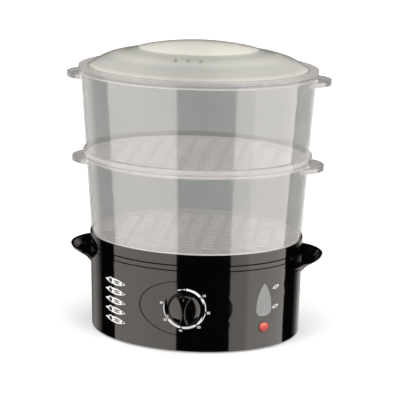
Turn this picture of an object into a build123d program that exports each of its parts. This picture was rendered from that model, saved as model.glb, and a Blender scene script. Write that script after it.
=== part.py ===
from build123d import *
import os
from math import atan2, cos, degrees, hypot, radians, sin, sqrt

# Two-tier electric food steamer. Every level is an oval about the Z axis: a black base with a
# water tank, heater and mechanical timer, a drip tray, two stacked clear baskets and a domed lid.
# Millimetres. Origin on the worktop under the middle of the base, +Z up, -Y the control side.

os.makedirs("parts", exist_ok=True)

# ---------------------------------------------------------------- driving dimensions
depth_ratio = 0.715  # depth over width of every oval

base_bottom_half = 127.0  # half widths of the ovals, at the levels named below
base_top_half = 128.2
base_lip_half = 128.4
collar_top_half = 128.6
lower_wall_top_half = 132.4
lower_rim_half = 136.4
upper_wall_top_half = 138.6
upper_rim_half = 141.2
base_ear_reach = 153.2
lower_ear_reach = 151.0
upper_ear_reach = 156.0
lid_dome_half = 129.0

foot_height = 3.0  # levels above the worktop
skirt_level = 2.0
base_top_level = 101.0
base_lip_level = 107.4
collar_top_level = 120.8
lower_rim_level = 213.0
upper_rim_level = 315.0

base_wall = 2.6
tank_wall = 2.4
tray_wall = 2.0
basket_wall = 1.8
lid_wall = 2.0
part_gap = 0.3  # between pieces that only lie against each other
shaft_gap = 0.05  # radial, round shafts and screws


def oval_body(levels, inset=0.0, mode=Mode.ADD):
    """Solid through ovals given as (half width, level), each drawn in by the inset."""
    sections = []
    for half_width, level in levels:
        with BuildSketch(Plane.XY.offset(level)) as section:
            Ellipse(half_width - inset, half_width * depth_ratio - inset)
        sections.append(section.sketch)
    return loft(sections, ruled=True, mode=mode)


def oval_ring(half_width, inset, width, level, height, mode=Mode.ADD):
    """Flat ring of even width, standing the inset inside the named oval."""
    outer = (half_width - inset, half_width * depth_ratio - inset)
    with BuildSketch(Plane.XY.offset(level)) as section:
        Ellipse(*outer)
        Ellipse(outer[0] - width, outer[1] - width, mode=Mode.SUBTRACT)
    return extrude(section.sketch, amount=height, mode=mode)


def ear_lobes(centre, reach, half_depth, level, height, inset=0.0, mode=Mode.ADD):
    """The two oval carrying lobes, left and right, that stand out from an oval wall."""
    with BuildSketch(Plane.XY.offset(level)) as section:
        with Locations((-centre, 0), (centre, 0)):
            Ellipse(reach - centre - inset, half_depth - inset)
    return extrude(section.sketch, amount=height, mode=mode)


def save(piece, name):
    piece.part.label = name
    export_step(piece.part, f"parts/{name}.step")


base_levels = [
    (base_bottom_half, skirt_level),
    (base_top_half, base_top_level),
    (base_lip_half, base_lip_level),
]


def base_half_at(level):
    """Half width of the base wall at a level under its lip."""
    share = (level - skirt_level) / (base_top_level - skirt_level)
    return base_bottom_half + (base_top_half - base_bottom_half) * share


# ---------------------------------------------------------------- base housing
base_ear_centre = 112.0
base_ear_half_depth = 42.0
base_ear_top = 101.2
base_ear_edge = 97.4
base_ear_root = 74.0
base_ear_lean = 1.8  # the outer face draws in this far from its top to its lower edge
base_ear_wall = 2.4
base_ear_floor = 94.5
base_ear_slope = 6.0  # the dish draws in this far from its brim to its floor
flare_centre = 100.0
flare_root_reach = 125.0
flare_root_depth = 24.0
flare_waist_level = 88.0
flare_waist_reach = 137.0
flare_waist_depth = 34.0

tank_deck_level = 94.6  # underside of the deck, on the ledge inside the housing
ledge_width = 2.4
ledge_height = 2.4
cover_level = 3.0
cover_thickness = 2.5
stop_width = 2.2
stop_height = 2.0

dial_level = 55.0
knob_radius = 19.0
knob_seat_radius = 20.5
knob_seat_depth = 1.15
timer_seat_radius = 24.0
timer_seat_y = -86.0  # inner face of the boss that the timer is screwed to
shaft_radius = 3.0
shaft_hole_radius = 5.0
timer_screw_offset = 13.0
screw_radius = 1.5
screw_head_radius = 2.9
screw_head_height = 1.6
screw_tip_gap = 1.0

dial_line_half_width = 55.0
dial_line_half_height = 34.0
dial_line_width = 0.9
dial_line_depth = 0.45
seam_width = 0.8  # shadow lines round the base and under the drip tray's collar
seam_depth = 0.7

side_x = 90.0  # the gauge window and the pilot lamp stand on this line of the front
side_y = -depth_ratio * sqrt(base_half_at(dial_level) ** 2 - side_x**2)
side_out = (side_x * depth_ratio, side_y / depth_ratio)  # outward normal of the oval there
side_plane = Plane(
    origin=(side_x, side_y, 0),
    x_dir=(-side_out[1], side_out[0], 0),
    z_dir=(side_out[0], side_out[1], 0),
)

window_low = 41.7
window_radius = 10.2
window_bottom = 7.6  # height of the rounded bottom end
window_height = 41.0
window_tip_lean = 0.85  # sideways run of the outline at its point, per unit of rise
lamp_level = 28.0
lens_radius = 6.2

gland_level = 20.0
gland_radius = 6.0
gland_flange_radius = 9.0
gland_flange_thickness = 2.0


def teardrop(grow=0.0):
    """Pointed gauge outline on the side plane, round at the bottom; local y is up."""
    radius = window_radius + grow
    middle = window_low + window_bottom
    tip = window_low + window_height + grow
    with BuildSketch(side_plane) as outline:
        with BuildLine():
            bottom = EllipticalCenterArc(
                (0, middle), radius, window_bottom + grow, start_angle=180, arc_size=180
            )
            Spline(bottom @ 1, (0, tip), tangents=((0, 1), (-window_tip_lean, 1)))
            Spline((0, tip), bottom @ 0, tangents=((-window_tip_lean, -1), (0, -1)))
        make_face()
    return outline.sketch


front_plane = Plane(origin=(0, 0, dial_level), x_dir=(1, 0, 0), z_dir=(0, -1, 0))
back_plane = Plane(origin=(0, 0, gland_level), x_dir=(-1, 0, 0), z_dir=(0, 1, 0))
front_face = depth_ratio * base_half_at(dial_level)  # from the axis to the front of the wall
back_face = depth_ratio * base_half_at(gland_level + gland_flange_radius)
knob_seat = front_face - knob_seat_depth

with BuildPart() as dial_line:
    oval_body(base_levels[:2])
    oval_body(base_levels[:2], inset=dial_line_depth, mode=Mode.SUBTRACT)
    with BuildSketch(front_plane):
        Ellipse(dial_line_half_width, dial_line_half_height)
        Ellipse(
            dial_line_half_width - dial_line_width,
            dial_line_half_height - dial_line_width,
            mode=Mode.SUBTRACT,
        )
    extrude(amount=2 * front_face, mode=Mode.INTERSECT)

with BuildPart() as base_housing:
    base_ear_run = base_ear_reach - base_ear_centre
    for side in (1, -1):
        for centre, run, half_depth, level in (
            (flare_centre, flare_root_reach - flare_centre, flare_root_depth, base_ear_root),
            (flare_centre, flare_waist_reach - flare_centre, flare_waist_depth, flare_waist_level),
            (
                base_ear_centre,
                base_ear_run - base_ear_lean,
                base_ear_half_depth - base_ear_lean,
                base_ear_edge,
            ),
            (base_ear_centre, base_ear_run, base_ear_half_depth, base_ear_top),
        ):
            with BuildSketch(Plane.XY.offset(level)):
                with Locations((side * centre, 0)):
                    Ellipse(run, half_depth)
        loft(ruled=True)
        for inset, level in (
            (base_ear_wall + base_ear_slope, base_ear_floor),
            (base_ear_wall, base_ear_top),
        ):
            with BuildSketch(Plane.XY.offset(level)):
                with Locations((side * base_ear_centre, 0)):
                    Ellipse(base_ear_run - inset, base_ear_half_depth - inset)
        loft(mode=Mode.SUBTRACT)
    oval_body(base_levels)
    oval_body(base_levels, inset=base_wall, mode=Mode.SUBTRACT)
    oval_ring(
        base_top_half,
        -seam_depth,
        2 * seam_depth,
        base_top_level - seam_width / 2,
        seam_width,
        Mode.SUBTRACT,
    )
    oval_ring(
        base_half_at(tank_deck_level),
        base_wall / 2,
        base_wall / 2 + ledge_width,
        tank_deck_level - ledge_height,
        ledge_height,
    )
    oval_ring(
        base_bottom_half,
        base_wall / 2,
        base_wall / 2 + stop_width,
        cover_level + cover_thickness,
        stop_height,
    )
    with BuildSketch(front_plane.offset(-timer_seat_y)):
        Circle(timer_seat_radius)
    extrude(amount=knob_seat + timer_seat_y)
    with BuildSketch(front_plane.offset(knob_seat)):
        Circle(knob_seat_radius)
    extrude(amount=base_wall, mode=Mode.SUBTRACT)
    with BuildSketch(front_plane):
        Circle(shaft_hole_radius)
        with Locations((-timer_screw_offset, 0), (timer_screw_offset, 0)):
            Circle(screw_radius + shaft_gap)
    extrude(amount=front_face, mode=Mode.SUBTRACT)
    extrude(teardrop(), amount=-2 * base_wall, both=True, mode=Mode.SUBTRACT)
    with BuildSketch(side_plane):
        with Locations((0, lamp_level)):
            Circle(lens_radius + shaft_gap)
    extrude(amount=-2 * base_wall, both=True, mode=Mode.SUBTRACT)
    with BuildSketch(back_plane):
        Circle(gland_radius + shaft_gap)
    extrude(amount=2 * back_face, mode=Mode.SUBTRACT)
    add(dial_line.part, mode=Mode.SUBTRACT)
save(base_housing, "base_housing")

# ---------------------------------------------------------------- bottom cover, feet, screws
post_radius = 4.5
post_places = [(82, 38), (-82, 38), (62, -8), (-62, -8)]
post_bore_depth = 14.0
foot_radius = 8.0
foot_stem_radius = 3.0
foot_head_radius = 4.2
foot_head_height = 1.5
foot_places = [(98, 36), (-98, 36), (98, -36), (-98, -36)]
intake_length = 24.0
intake_width = 3.0
intake_pitch = 7.0
intake_count = 5
intake_y = -52.0
cover_top = cover_level + cover_thickness

with BuildPart() as bottom_cover:
    with BuildSketch(Plane.XY.offset(cover_level)):
        cover_inset = base_wall + part_gap
        Ellipse(base_bottom_half - cover_inset, base_bottom_half * depth_ratio - cover_inset)
        with Locations(*post_places):
            Circle(screw_radius + shaft_gap, mode=Mode.SUBTRACT)
        with Locations(*foot_places):
            Circle(foot_stem_radius + shaft_gap, mode=Mode.SUBTRACT)
        with Locations((0, intake_y)):
            with GridLocations(0, intake_pitch, 1, intake_count):
                SlotOverall(intake_length, intake_width, mode=Mode.SUBTRACT)
    extrude(amount=cover_thickness)
save(bottom_cover, "bottom_cover")

with BuildPart() as rubber_feet:
    with BuildSketch():
        with Locations(*foot_places):
            Circle(foot_radius)
    extrude(amount=foot_height)
    with BuildSketch(Plane.XY.offset(foot_height)):
        with Locations(*foot_places):
            Circle(foot_stem_radius)
    extrude(amount=cover_thickness)
    with BuildSketch(Plane.XY.offset(cover_top)):
        with Locations(*foot_places):
            Circle(foot_head_radius)
    extrude(amount=foot_head_height)
save(rubber_feet, "rubber_feet")

with BuildPart() as cover_screws:
    with BuildSketch(Plane.XY.offset(cover_level)):
        with Locations(*post_places):
            Circle(screw_head_radius)
    extrude(amount=-screw_head_height / 2)
    with BuildSketch(Plane.XY.offset(cover_level)):
        with Locations(*post_places):
            Circle(screw_radius)
    extrude(amount=cover_thickness + post_bore_depth - screw_tip_gap)
save(cover_screws, "cover_screws")

# ---------------------------------------------------------------- water tank
basin_y = 16.0
basin_half_width = 110.0
basin_half_depth = 64.0
basin_draft = 5.0
tank_floor = 42.0
deck_thickness = 2.4
pocket_width = 28.0
pocket_depth = 46.0
window_flange_depth = 3.7  # depths behind the front of the wall, along the side plane
window_flange = 1.8
window_flange_grow = 2.4
seal_thickness = 1.5
pocket_face_depth = window_flange_depth + window_flange + seal_thickness
deck_top = tank_deck_level + deck_thickness
tank_underside = tank_floor - tank_wall
pocket_top = window_low + window_height + window_flange_grow + tank_wall

element_ring_radius = 32.0
element_tube_radius = 3.3
element_level = tank_floor + 9.0
element_gap_angle = 35.0
element_bend_radius = 8.0
leg_x = element_ring_radius * sin(radians(element_gap_angle)) - element_bend_radius * cos(
    radians(element_gap_angle)
)
leg_y = (
    basin_y
    - element_ring_radius * cos(radians(element_gap_angle))
    - element_bend_radius * sin(radians(element_gap_angle))
)
leg_places = [(leg_x, leg_y), (-leg_x, leg_y)]
seal_wall = 1.6
seal_flange_radius = 7.5
seal_flange_height = 1.5
leg_hole_radius = element_tube_radius + shaft_gap + seal_wall + shaft_gap
sensor_radius = 13.0
sensor_flange_radius = 17.0
bracket_half_span = 24.0
bracket_boss_radius = 4.0
bracket_boss_height = 5.0

with BuildPart() as water_tank:
    with BuildSketch(Plane.XY.offset(tank_deck_level)):
        deck_inset = base_wall + part_gap
        deck_half = base_half_at(tank_deck_level)
        Ellipse(deck_half - deck_inset, deck_half * depth_ratio - deck_inset)
    extrude(amount=deck_thickness)
    with BuildSketch(Plane.XY.offset(tank_underside)):
        with Locations((0, basin_y)):
            Ellipse(
                basin_half_width - basin_draft + tank_wall,
                basin_half_depth - basin_draft + tank_wall,
            )
    with BuildSketch(Plane.XY.offset(deck_top)):
        with Locations((0, basin_y)):
            Ellipse(basin_half_width + tank_wall, basin_half_depth + tank_wall)
    loft()
    with BuildSketch(side_plane.offset(-pocket_face_depth)):
        with Locations((0, tank_underside)):
            Rectangle(
                pocket_width,
                pocket_top - tank_underside,
                align=(Align.CENTER, Align.MIN),
            )
    extrude(amount=-pocket_depth)
    with BuildSketch(Plane.XY.offset(tank_floor)):
        with Locations((0, basin_y)):
            Ellipse(basin_half_width - basin_draft, basin_half_depth - basin_draft)
    with BuildSketch(Plane.XY.offset(deck_top)):
        with Locations((0, basin_y)):
            Ellipse(basin_half_width, basin_half_depth)
    loft(mode=Mode.SUBTRACT)
    with BuildSketch(side_plane.offset(-pocket_face_depth - tank_wall)):
        with Locations((0, tank_floor)):
            Rectangle(
                pocket_width - 2 * tank_wall,
                pocket_top - tank_wall - tank_floor,
                align=(Align.CENTER, Align.MIN),
            )
    extrude(amount=-pocket_depth, mode=Mode.SUBTRACT)
    extrude(
        teardrop(-tank_wall).moved(Location(side_plane.z_dir * -pocket_face_depth)),
        amount=tank_wall,
        both=True,
        mode=Mode.SUBTRACT,
    )
    with BuildSketch(Plane.XY.offset(cover_top)):
        with Locations(*post_places):
            Circle(post_radius)
    extrude(amount=tank_underside - cover_top + tank_wall / 2)
    with BuildSketch(Plane.XY.offset(cover_top)):
        with Locations(*post_places):
            Circle(screw_radius + shaft_gap)
    extrude(amount=post_bore_depth, mode=Mode.SUBTRACT)
    with BuildSketch(Plane.XY.offset(tank_underside - bracket_boss_height)):
        with Locations((bracket_half_span, basin_y), (-bracket_half_span, basin_y)):
            Circle(bracket_boss_radius)
    extrude(amount=bracket_boss_height + tank_wall / 2)
    with BuildSketch(Plane.XY.offset(tank_underside - bracket_boss_height)):
        with Locations((bracket_half_span, basin_y), (-bracket_half_span, basin_y)):
            Circle(screw_radius + shaft_gap)
    extrude(amount=bracket_boss_height, mode=Mode.SUBTRACT)
    with BuildSketch(Plane.XY.offset(tank_underside)):
        with Locations(*leg_places):
            Circle(leg_hole_radius)
        with Locations((0, basin_y)):
            Circle(sensor_radius + seal_wall + 2 * shaft_gap)
    extrude(amount=tank_wall, mode=Mode.SUBTRACT)
save(water_tank, "water_tank")

# ---------------------------------------------------------------- gauge window and pilot lamp
with BuildPart() as gauge_window:
    extrude(teardrop(-part_gap / 2), amount=-window_flange_depth - window_flange, both=True)
    oval_body(base_levels[:2], mode=Mode.INTERSECT)
    extrude(
        teardrop(window_flange_grow).moved(Location(side_plane.z_dir * -window_flange_depth)),
        amount=-window_flange,
        dir=side_plane.z_dir,
    )
save(gauge_window, "gauge_window")

with BuildPart() as gauge_seal:
    back_of_window = Location(side_plane.z_dir * -(window_flange_depth + window_flange))
    extrude(
        teardrop(window_flange_grow).moved(back_of_window),
        amount=-seal_thickness,
        dir=side_plane.z_dir,
    )
    extrude(
        teardrop(-tank_wall).moved(back_of_window),
        amount=seal_thickness,
        both=True,
        mode=Mode.SUBTRACT,
    )
save(gauge_seal, "gauge_seal")

lens_dome = 2.2
lens_edge = 1.8
lens_flange_depth = 3.2
lens_flange = 1.2
lens_flange_radius = 7.8
lens_barrel = 12.0
lens_bore_radius = 4.7
neon_radius = 2.6
neon_length = 11.0
holder_wall = 1.6
holder_length = 20.0
lamp_plane = Plane(
    origin=side_plane.from_local_coords((0, lamp_level, 0)),
    x_dir=side_plane.x_dir,
    z_dir=side_plane.z_dir,
)

with BuildPart() as pilot_lens:
    with BuildSketch(lamp_plane.offset(-lens_barrel)):
        Circle(lens_radius)
    extrude(amount=lens_barrel + lens_dome)
    fillet(pilot_lens.edges().sort_by(Axis(lamp_plane.origin, lamp_plane.z_dir))[-1], lens_edge)
    with BuildSketch(lamp_plane.offset(-lens_flange_depth)):
        Circle(lens_flange_radius)
    extrude(amount=-lens_flange)
    with BuildSketch(lamp_plane.offset(-lens_barrel)):
        Circle(lens_bore_radius)
    extrude(amount=lens_barrel - lens_flange_depth, mode=Mode.SUBTRACT)
save(pilot_lens, "pilot_lens")

holder_front = lens_flange_depth + lens_flange
with BuildPart() as lamp_holder:
    with BuildSketch(lamp_plane.offset(-holder_front)):
        Circle(lens_flange_radius)
    extrude(amount=-holder_length)
    with BuildSketch(lamp_plane.offset(-holder_front)):
        Circle(lens_radius + shaft_gap)
    extrude(amount=-(lens_barrel - holder_front), mode=Mode.SUBTRACT)
    with BuildSketch(lamp_plane.offset(-lens_barrel)):
        Circle(neon_radius + shaft_gap)
    extrude(amount=-(holder_front + holder_length - holder_wall - lens_barrel), mode=Mode.SUBTRACT)
save(lamp_holder, "lamp_holder")

with BuildPart() as neon_lamp:
    neon_back = holder_front + holder_length - holder_wall
    with BuildSketch(lamp_plane.offset(-neon_back)):
        Circle(neon_radius)
    extrude(amount=neon_length)
save(neon_lamp, "neon_lamp")

# ---------------------------------------------------------------- timer
timer_width = 50.0
timer_height = 46.0
timer_depth = 25.0
timer_corner = 3.0
timer_nose_radius = 4.8
timer_nose = 2.5
bell_radius = 19.0
bell_depth = 7.0
bell_wall = 1.2
tab_width = 6.3
tab_thickness = 0.8
tab_length = 8.0
tab_offset = 10.0
timer_back_y = timer_seat_y + timer_depth
timer_underside = dial_level - timer_height / 2
screw_engagement = 8.0
shaft_tail = 12.0

with BuildPart() as timer_case:
    with BuildSketch(front_plane.offset(-timer_back_y)):
        RectangleRounded(timer_width, timer_height, timer_corner)
    extrude(amount=timer_depth)
    with BuildSketch(front_plane.offset(-timer_seat_y)):
        Circle(timer_nose_radius)
    extrude(amount=timer_nose)
    with BuildSketch(front_plane.offset(-timer_seat_y - shaft_tail)):
        Circle(shaft_radius + shaft_gap)
    extrude(amount=shaft_tail + timer_nose, mode=Mode.SUBTRACT)
    with BuildSketch(front_plane.offset(-timer_seat_y - screw_engagement)):
        with Locations((-timer_screw_offset, 0), (timer_screw_offset, 0)):
            Circle(screw_radius + shaft_gap)
    extrude(amount=screw_engagement, mode=Mode.SUBTRACT)
save(timer_case, "timer_case")

with BuildPart() as timer_bell:
    with BuildSketch(front_plane.offset(-timer_back_y)):
        Circle(bell_radius)
    extrude(amount=-bell_depth)
    fillet(timer_bell.edges().group_by(Axis.Y)[-1], bell_depth / 2)
    with BuildSketch(front_plane.offset(-timer_back_y)):
        Circle(bell_radius - bell_wall)
        Circle(shaft_radius, mode=Mode.SUBTRACT)
    extrude(amount=-bell_depth + 2 * bell_wall, mode=Mode.SUBTRACT)
save(timer_bell, "timer_bell")

timer_tab_y = (timer_seat_y + timer_back_y) / 2
with BuildPart() as timer_tabs:
    with BuildSketch(Plane.XY.offset(timer_underside)):
        with Locations((-tab_offset, timer_tab_y), (tab_offset, timer_tab_y)):
            Rectangle(tab_width, tab_thickness)
    extrude(amount=-tab_length)
save(timer_tabs, "timer_tabs")

knob_height = 14.0
knob_gap = 0.5
knob_skirt = 2.2
knob_dome = 6.2
grip_front_half = 16.6  # the grip's front, measured from the axis to its round ends
grip_top_half = 7.0
grip_waist = 1.9
grip_low_half = 4.2
grip_draft = 9.0
grip_end_drop = 4.0  # the grip's front falls this much from its middle to its ends
grip_edge = 0.9
shaft_flat = 1.0
shaft_in_knob = 9.0
pointer_width = 1.4
pointer_length = 2.6
pointer_centre = 14.2
pointer_thickness = 1.6
knob_face = knob_seat + knob_gap
knob_front = knob_face + knob_height

with BuildPart() as timer_shaft:
    shaft_back = -timer_seat_y - shaft_tail + part_gap
    with BuildSketch(front_plane.offset(shaft_back)):
        Circle(shaft_radius)
    extrude(amount=knob_face + shaft_in_knob - shaft_back)
    with BuildSketch(front_plane.offset(knob_face)):
        with Locations((0, -shaft_radius)):
            Rectangle(2 * shaft_radius, 2 * shaft_flat)
    extrude(amount=shaft_in_knob, mode=Mode.SUBTRACT)
save(timer_shaft, "timer_shaft")


def grip_arch():
    """Everything behind the grip's arched front, in the view from the side."""
    radius = (grip_front_half**2 + grip_end_drop**2) / (2 * grip_end_drop)
    with BuildSketch(Plane.YZ) as side_view:
        with Locations((radius - knob_front, dial_level)):
            Circle(radius)
    return extrude(side_view.sketch, amount=knob_radius, both=True, mode=Mode.PRIVATE)


with BuildPart() as knob_grip:
    with BuildSketch(front_plane.offset(knob_front)):
        with BuildLine():
            top_height = sqrt(grip_front_half**2 - grip_top_half**2)
            low_height = sqrt(grip_front_half**2 - grip_low_half**2)
            corners = [
                (grip_low_half, -low_height),
                (grip_top_half, top_height),
                (-grip_top_half, top_height),
                (-grip_low_half, -low_height),
            ]
            ThreePointArc(corners[0], (grip_waist, 0), corners[1])
            ThreePointArc(corners[1], (0, grip_front_half), corners[2])
            ThreePointArc(corners[2], (-grip_waist, 0), corners[3])
            ThreePointArc(corners[3], (0, -grip_front_half), corners[0])
        make_face()
    extrude(amount=-(knob_height - knob_skirt), taper=-grip_draft)
    add(grip_arch(), mode=Mode.INTERSECT)
    fillet(knob_grip.faces().sort_by(Axis.Y)[0].edges(), grip_edge)

with BuildPart() as timer_knob:
    with BuildSketch(Plane.YZ):
        with BuildLine():
            Line((-knob_face, dial_level), (-knob_face, dial_level + knob_radius))
            Line(
                (-knob_face, dial_level + knob_radius),
                (-knob_face - knob_skirt, dial_level + knob_radius),
            )
            EllipticalCenterArc(
                (-knob_face - knob_skirt, dial_level),
                knob_dome,
                knob_radius,
                start_angle=90,
                arc_size=90,
            )
            Line((-knob_face - knob_skirt - knob_dome, dial_level), (-knob_face, dial_level))
        make_face()
    revolve(axis=Axis((0, 0, dial_level), (0, 1, 0)))
    add(knob_grip.part)
    with BuildSketch(front_plane.offset(knob_face)):
        Circle(shaft_radius + shaft_gap)
        with Locations((0, -shaft_radius)):
            Rectangle(2 * shaft_radius, 2 * shaft_flat - 2 * shaft_gap, mode=Mode.SUBTRACT)
    extrude(amount=shaft_in_knob + shaft_gap, mode=Mode.SUBTRACT)
    pointer_back = knob_front - grip_end_drop - pointer_thickness
    with BuildSketch(front_plane.offset(pointer_back)):
        with Locations((0, pointer_centre)):
            RectangleRounded(pointer_width, pointer_length, pointer_width / 3)
    extrude(amount=grip_end_drop + pointer_thickness, mode=Mode.SUBTRACT)
save(timer_knob, "timer_knob")

with BuildPart() as knob_pointer:
    with BuildSketch(front_plane.offset(pointer_back)):
        with Locations((0, pointer_centre)):
            RectangleRounded(
                pointer_width - shaft_gap, pointer_length - shaft_gap, pointer_width / 3
            )
    extrude(amount=grip_end_drop + pointer_thickness)
    add(grip_arch(), mode=Mode.INTERSECT)
save(knob_pointer, "knob_pointer")

with BuildPart() as timer_screws:
    screw_tip = -timer_seat_y - screw_engagement + screw_tip_gap
    with BuildSketch(front_plane.offset(screw_tip)):
        with Locations((-timer_screw_offset, 0), (timer_screw_offset, 0)):
            Circle(screw_radius)
    extrude(amount=knob_seat - screw_tip)
    with BuildSketch(front_plane.offset(knob_seat)):
        with Locations((-timer_screw_offset, 0), (timer_screw_offset, 0)):
            Circle(screw_head_radius)
    extrude(amount=knob_gap - shaft_gap)
save(timer_screws, "timer_screws")

# ---------------------------------------------------------------- heater
leg_low = tank_underside - 9.0
nut_width = 12.0
nut_height = 4.0
stud_radius = 1.6
stud_length = 5.0

gap_angle = radians(element_gap_angle)
bend_start = (
    element_ring_radius * sin(gap_angle),
    basin_y - element_ring_radius * cos(gap_angle),
    element_level - element_bend_radius,
)
bend_plane = Plane(
    origin=bend_start,
    x_dir=(-cos(gap_angle), -sin(gap_angle), 0),
    z_dir=(-sin(gap_angle), cos(gap_angle), 0),
)

with BuildPart() as heating_element:
    ring_plane = Plane(
        origin=(0, basin_y, element_level),
        x_dir=(sin(gap_angle), -cos(gap_angle), 0),
        z_dir=(0, 0, 1),
    )
    with Locations(ring_plane):
        Torus(
            element_ring_radius,
            element_tube_radius,
            major_angle=360 - 2 * element_gap_angle,
            align=None,
        )
    with Locations(bend_plane):
        Torus(element_bend_radius, element_tube_radius, major_angle=90, align=None)
    with BuildSketch(Plane.XY.offset(leg_low)):
        with Locations(leg_places[0]):
            Circle(element_tube_radius)
    extrude(amount=element_level - element_bend_radius - leg_low)
    with BuildSketch(Plane.XY.offset(leg_low)):
        with Locations(leg_places[0]):
            Circle(stud_radius)
    extrude(amount=-stud_length)
    split(bisect_by=Plane.YZ, keep=Keep.TOP)
    mirror(about=Plane.YZ)
save(heating_element, "heating_element")

with BuildPart() as element_seals:
    with BuildSketch(Plane.XY.offset(tank_underside)):
        with Locations(*leg_places):
            Circle(leg_hole_radius - shaft_gap)
    extrude(amount=tank_wall)
    with BuildSketch(Plane.XY.offset(tank_floor)):
        with Locations(*leg_places):
            Circle(seal_flange_radius)
    extrude(amount=seal_flange_height)
    with BuildSketch(Plane.XY.offset(tank_underside)):
        with Locations(*leg_places):
            Circle(element_tube_radius + shaft_gap)
    extrude(amount=tank_wall + seal_flange_height, mode=Mode.SUBTRACT)
save(element_seals, "element_seals")

with BuildPart() as element_nuts:
    with BuildSketch(Plane.XY.offset(tank_underside)):
        with Locations(*leg_places):
            RegularPolygon(nut_width / 2, 6, major_radius=False)
            Circle(element_tube_radius + shaft_gap, mode=Mode.SUBTRACT)
    extrude(amount=-nut_height)
save(element_nuts, "element_nuts")

sensor_plate_thickness = 1.0
sensor_seal_height = 1.2
cutout_radius = 9.0
cutout_height = 7.0
cutout_tab_half_width = 13.0
bracket_thickness = 1.2
bracket_width = 9.0
sensor_low = tank_underside - sensor_plate_thickness

with BuildPart() as sensor_seal:
    with BuildSketch(Plane.XY.offset(tank_underside)):
        with Locations((0, basin_y)):
            Circle(sensor_radius + seal_wall + shaft_gap)
    extrude(amount=tank_wall)
    with BuildSketch(Plane.XY.offset(tank_floor)):
        with Locations((0, basin_y)):
            Circle(sensor_flange_radius)
    extrude(amount=sensor_seal_height)
    with BuildSketch(Plane.XY.offset(tank_underside)):
        with Locations((0, basin_y)):
            Circle(sensor_radius + shaft_gap)
    extrude(amount=tank_wall + sensor_seal_height, mode=Mode.SUBTRACT)
save(sensor_seal, "sensor_seal")

with BuildPart() as sensor_plate:
    with BuildSketch(Plane.XY.offset(sensor_low)):
        with Locations((0, basin_y)):
            Circle(sensor_radius)
    extrude(amount=tank_floor + sensor_seal_height - sensor_low)
    with BuildSketch(Plane.XY.offset(tank_floor + sensor_seal_height)):
        with Locations((0, basin_y)):
            Circle(sensor_flange_radius)
    extrude(amount=sensor_plate_thickness)
    with BuildSketch(Plane.XY.offset(sensor_low + sensor_plate_thickness)):
        with Locations((0, basin_y)):
            Circle(sensor_radius - sensor_plate_thickness)
    extrude(amount=tank_floor - sensor_low + sensor_seal_height, mode=Mode.SUBTRACT)
save(sensor_plate, "sensor_plate")

cutout_low = sensor_low - cutout_height
with BuildPart() as thermal_cutout:
    with BuildSketch(Plane.XY.offset(cutout_low)):
        with Locations((0, basin_y)):
            Circle(cutout_radius)
    extrude(amount=cutout_height)
    with BuildSketch(Plane.XZ.offset(-basin_y)):
        with Locations((0, cutout_low + cutout_height / 2)):
            Rectangle(2 * cutout_tab_half_width, tab_thickness)
    extrude(amount=tab_width / 2, both=True)
save(thermal_cutout, "thermal_cutout")

boss_low = tank_underside - bracket_boss_height
with BuildPart() as cutout_bracket:
    bracket_low = cutout_low - bracket_thickness
    bracket_bed = cutout_tab_half_width + bracket_thickness
    with BuildSketch(Plane.XZ.offset(-basin_y)):
        with BuildLine():
            Polyline(
                (-bracket_half_span - bracket_boss_radius, boss_low),
                (-bracket_half_span + bracket_boss_radius, boss_low),
                (-bracket_bed, cutout_low),
                (bracket_bed, cutout_low),
                (bracket_half_span - bracket_boss_radius, boss_low),
                (bracket_half_span + bracket_boss_radius, boss_low),
                (bracket_half_span + bracket_boss_radius, boss_low - bracket_thickness),
                (bracket_half_span - bracket_boss_radius, boss_low - bracket_thickness),
                (bracket_bed, bracket_low),
                (-bracket_bed, bracket_low),
                (-bracket_half_span + bracket_boss_radius, boss_low - bracket_thickness),
                (-bracket_half_span - bracket_boss_radius, boss_low - bracket_thickness),
                close=True,
            )
        make_face()
    extrude(amount=bracket_width / 2, both=True)
    with BuildSketch(Plane.XY.offset(boss_low)):
        with Locations((bracket_half_span, basin_y), (-bracket_half_span, basin_y)):
            Circle(screw_radius + shaft_gap)
    extrude(amount=-2 * bracket_thickness, mode=Mode.SUBTRACT)
save(cutout_bracket, "cutout_bracket")

with BuildPart() as bracket_screws:
    with BuildSketch(Plane.XY.offset(boss_low - bracket_thickness)):
        with Locations((bracket_half_span, basin_y), (-bracket_half_span, basin_y)):
            Circle(screw_head_radius)
    extrude(amount=-screw_head_height)
    with BuildSketch(Plane.XY.offset(boss_low - bracket_thickness)):
        with Locations((bracket_half_span, basin_y), (-bracket_half_span, basin_y)):
            Circle(screw_radius)
    extrude(amount=bracket_thickness + bracket_boss_height - screw_tip_gap)
save(bracket_screws, "bracket_screws")

turbo_radius = 47.0
turbo_wall = 2.0
turbo_height = 32.0
turbo_notch_width = 14.0
turbo_notch_height = 5.0
turbo_notches = 4
with BuildPart() as turbo_ring:
    with BuildSketch(Plane.XY.offset(tank_floor)):
        with Locations((0, basin_y)):
            Circle(turbo_radius)
            Circle(turbo_radius - turbo_wall, mode=Mode.SUBTRACT)
    extrude(amount=turbo_height)
    with Locations((0, basin_y, tank_floor)):
        with PolarLocations(turbo_radius, turbo_notches, start_angle=180 / turbo_notches):
            Box(
                4 * turbo_wall,
                turbo_notch_width,
                turbo_notch_height,
                align=(Align.CENTER, Align.CENTER, Align.MIN),
                mode=Mode.SUBTRACT,
            )
save(turbo_ring, "turbo_ring")

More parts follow.
